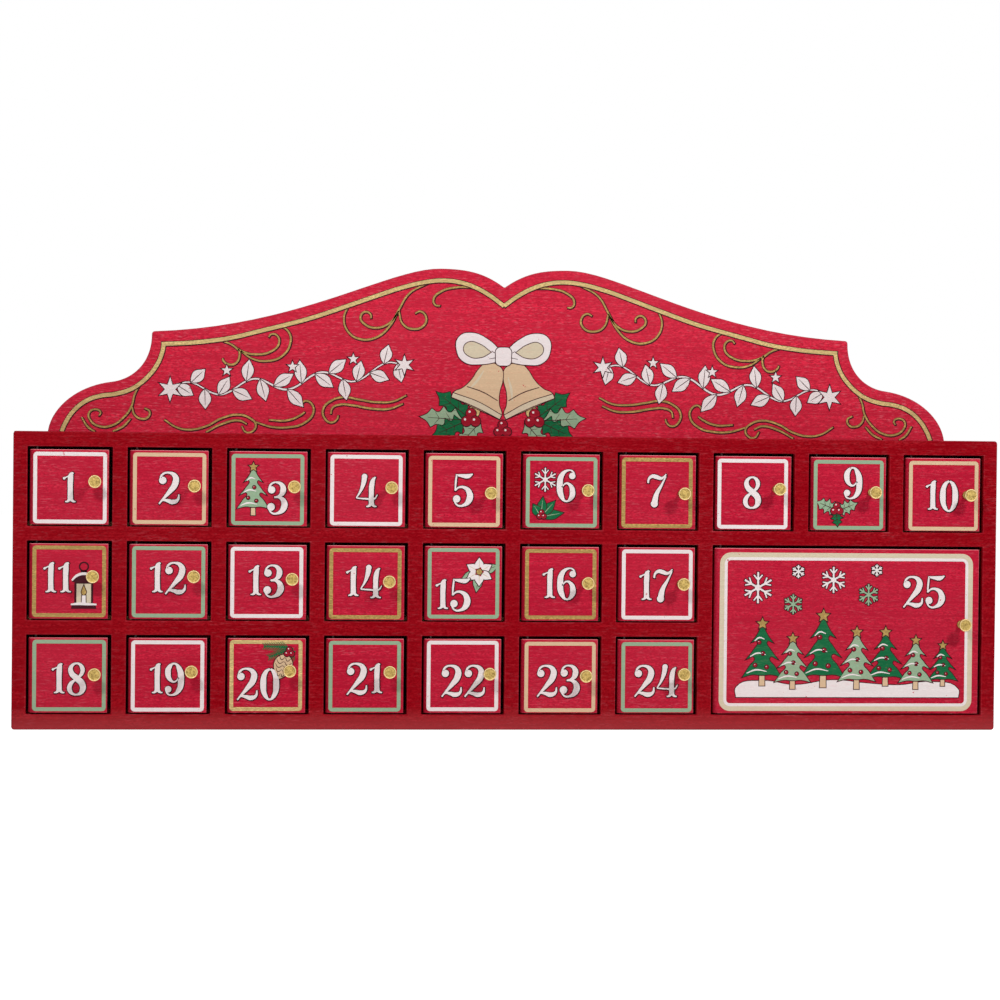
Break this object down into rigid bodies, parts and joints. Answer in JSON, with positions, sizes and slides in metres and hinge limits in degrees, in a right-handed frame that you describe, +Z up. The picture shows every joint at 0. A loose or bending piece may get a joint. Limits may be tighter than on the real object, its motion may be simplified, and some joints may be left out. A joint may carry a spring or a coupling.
{
  "type": "advent calendar",
  "caption": "Long shallow red wooden box of small numbered hinged doors with brass knobs, one large door, and a tall scrolled header board.",
  "frame": {"origin": "centre of the underside of the bottom board, which stands on the table", "axes": "+X along the width to the viewer's right, +Y from the front to the back, +Z up; the doors face -Y"},
  "size_m": [0.6, 0.0771, 0.2825],
  "materials": {
    "frame_paint": "deep red satin paint on plywood, sanded at the edges",
    "door_paint": "crimson satin paint on plywood, short pale grain marks",
    "header_paint": "crimson satin paint on plywood, short pale grain marks",
    "inside_wood": "thin deep red paint on plywood inside the box",
    "knob_brass": "turned and lightly polished",
    "pin_steel": "bright drawn wire",
    "white_paint": "off-white printed paint on the wood",
    "cream_paint": "cream printed paint on the wood",
    "gold_paint": "streaky gold printed paint on the wood",
    "sage_paint": "sage green printed paint on the wood",
    "green_paint": "dark green printed paint on the wood",
    "black_paint": "thin black printed outline on the wood"
  },
  "bodies": {
    "case": {"face_frame": "frame_paint", "left_side": "frame_paint", "right_side": "frame_paint", "top_board": "frame_paint", "bottom_board": "frame_paint", "header_back_board": "header_paint", "divider_grid": "inside_wood", "lower_shelf": "inside_wood", "short_divider_1": "inside_wood", "short_divider_2": "inside_wood"},
    "leaf_01": {"door_01": "door_paint", "knob_01": "knob_brass"},
    "leaf_02": {"door_02": "door_paint", "knob_02": "knob_brass"},
    "leaf_03": {"door_03": "door_paint", "knob_03": "knob_brass"},
    "leaf_04": {"door_04": "door_paint", "knob_04": "knob_brass"},
    "leaf_05": {"door_05": "door_paint", "knob_05": "knob_brass"},
    "leaf_06": {"door_06": "door_paint", "knob_06": "knob_brass"},
    "leaf_07": {"door_07": "door_paint", "knob_07": "knob_brass"},
    "leaf_08": {"door_08": "door_paint", "knob_08": "knob_brass"},
    "leaf_09": {"door_09": "door_paint", "knob_09": "knob_brass"},
    "leaf_10": {"door_10": "door_paint", "knob_10": "knob_brass"},
    "leaf_11": {"door_11": "door_paint", "knob_11": "knob_brass"},
    "leaf_12": {"door_12": "door_paint", "knob_12": "knob_brass"},
    "leaf_13": {"door_13": "door_paint", "knob_13": "knob_brass"},
    "leaf_14": {"door_14": "door_paint", "knob_14": "knob_brass"},
    "leaf_15": {"door_15": "door_paint"},
    "leaf_16": {"door_16": "door_paint", "knob_16": "knob_brass"},
    "leaf_17": {"door_17": "door_paint", "knob_17": "knob_brass"},
    "leaf_18": {"door_18": "door_paint", "knob_18": "knob_brass"},
    "leaf_19": {"door_19": "door_paint", "knob_19": "knob_brass"},
    "leaf_20": {"door_20": "door_paint", "knob_20": "knob_brass"},
    "leaf_21": {"door_21": "door_paint", "knob_21": "knob_brass"},
    "leaf_22": {"door_22": "door_paint", "knob_22": "knob_brass"},
    "leaf_23": {"door_23": "door_paint", "knob_23": "knob_brass"},
    "leaf_24": {"door_24": "door_paint", "knob_24": "knob_brass"},
    "leaf_25": {"door_25": "door_paint", "knob_25": "knob_brass"}
  },
  "joints": [
    {"name": "hinge_01", "type": "hinge", "parent": "case", "child": "leaf_01", "pos_m": [-0.286, -0.0285, 0.14495], "axis": [0, 0, -1], "range_deg": [0, 100]},
    {"name": "hinge_02", "type": "hinge", "parent": "case", "child": "leaf_02", "pos_m": [-0.2268, -0.0285, 0.14495], "axis": [0, 0, -1], "range_deg": [0, 100]},
    {"name": "hinge_03", "type": "hinge", "parent": "case", "child": "leaf_03", "pos_m": [-0.1676, -0.0285, 0.14495], "axis": [0, 0, -1], "range_deg": [0, 100]},
    {"name": "hinge_04", "type": "hinge", "parent": "case", "child": "leaf_04", "pos_m": [-0.1084, -0.0285, 0.14495], "axis": [0, 0, -1], "range_deg": [0, 100]},
    {"name": "hinge_05", "type": "hinge", "parent": "case", "child": "leaf_05", "pos_m": [-0.0492, -0.0285, 0.14495], "axis": [0, 0, -1], "range_deg": [0, 100]},
    {"name": "hinge_06", "type": "hinge", "parent": "case", "child": "leaf_06", "pos_m": [0.01, -0.0285, 0.14495], "axis": [0, 0, -1], "range_deg": [0, 100]},
    {"name": "hinge_07", "type": "hinge", "parent": "case", "child": "leaf_07", "pos_m": [0.0692, -0.0285, 0.14495], "axis": [0, 0, -1], "range_deg": [0, 100]},
    {"name": "hinge_08", "type": "hinge", "parent": "case", "child": "leaf_08", "pos_m": [0.1284, -0.0285, 0.14495], "axis": [0, 0, -1], "range_deg": [0, 100]},
    {"name": "hinge_09", "type": "hinge", "parent": "case", "child": "leaf_09", "pos_m": [0.1876, -0.0285, 0.14495], "axis": [0, 0, -1], "range_deg": [0, 100]},
    {"name": "hinge_10", "type": "hinge", "parent": "case", "child": "leaf_10", "pos_m": [0.2468, -0.0285, 0.14495], "axis": [0, 0, -1], "range_deg": [0, 100]},
    {"name": "hinge_11", "type": "hinge", "parent": "case", "child": "leaf_11", "pos_m": [-0.286, -0.0285, 0.08875], "axis": [0, 0, -1], "range_deg": [0, 100]},
    {"name": "hinge_12", "type": "hinge", "parent": "case", "child": "leaf_12", "pos_m": [-0.2268, -0.0285, 0.08875], "axis": [0, 0, -1], "range_deg": [0, 100]},
    {"name": "hinge_13", "type": "hinge", "parent": "case", "child": "leaf_13", "pos_m": [-0.1676, -0.0285, 0.08875], "axis": [0, 0, -1], "range_deg": [0, 100]},
    {"name": "hinge_14", "type": "hinge", "parent": "case", "child": "leaf_14", "pos_m": [-0.1084, -0.0285, 0.08875], "axis": [0, 0, -1], "range_deg": [0, 100]},
    {"name": "hinge_15", "type": "hinge", "parent": "case", "child": "leaf_15", "pos_m": [-0.0492, -0.0285, 0.08875], "axis": [0, 0, -1], "range_deg": [0, 100]},
    {"name": "hinge_16", "type": "hinge", "parent": "case", "child": "leaf_16", "pos_m": [0.01, -0.0285, 0.08875], "axis": [0, 0, -1], "range_deg": [0, 100]},
    {"name": "hinge_17", "type": "hinge", "parent": "case", "child": "leaf_17", "pos_m": [0.0692, -0.0285, 0.08875], "axis": [0, 0, -1], "range_deg": [0, 100]},
    {"name": "hinge_18", "type": "hinge", "parent": "case", "child": "leaf_18", "pos_m": [-0.286, -0.0285, 0.03255], "axis": [0, 0, -1], "range_deg": [0, 100]},
    {"name": "hinge_19", "type": "hinge", "parent": "case", "child": "leaf_19", "pos_m": [-0.2268, -0.0285, 0.03255], "axis": [0, 0, -1], "range_deg": [0, 100]},
    {"name": "hinge_20", "type": "hinge", "parent": "case", "child": "leaf_20", "pos_m": [-0.1676, -0.0285, 0.03255], "axis": [0, 0, -1], "range_deg": [0, 100]},
    {"name": "hinge_21", "type": "hinge", "parent": "case", "child": "leaf_21", "pos_m": [-0.1084, -0.0285, 0.03255], "axis": [0, 0, -1], "range_deg": [0, 100]},
    {"name": "hinge_22", "type": "hinge", "parent": "case", "child": "leaf_22", "pos_m": [-0.0492, -0.0285, 0.03255], "axis": [0, 0, -1], "range_deg": [0, 100]},
    {"name": "hinge_23", "type": "hinge", "parent": "case", "child": "leaf_23", "pos_m": [0.01, -0.0285, 0.03255], "axis": [0, 0, -1], "range_deg": [0, 100]},
    {"name": "hinge_24", "type": "hinge", "parent": "case", "child": "leaf_24", "pos_m": [0.0692, -0.0285, 0.03255], "axis": [0, 0, -1], "range_deg": [0, 100]},
    {"name": "hinge_25", "type": "hinge", "parent": "case", "child": "leaf_25", "pos_m": [0.1284, -0.0285, 0.06065], "axis": [0, 0, -1], "range_deg": [0, 100]}
  ]
}
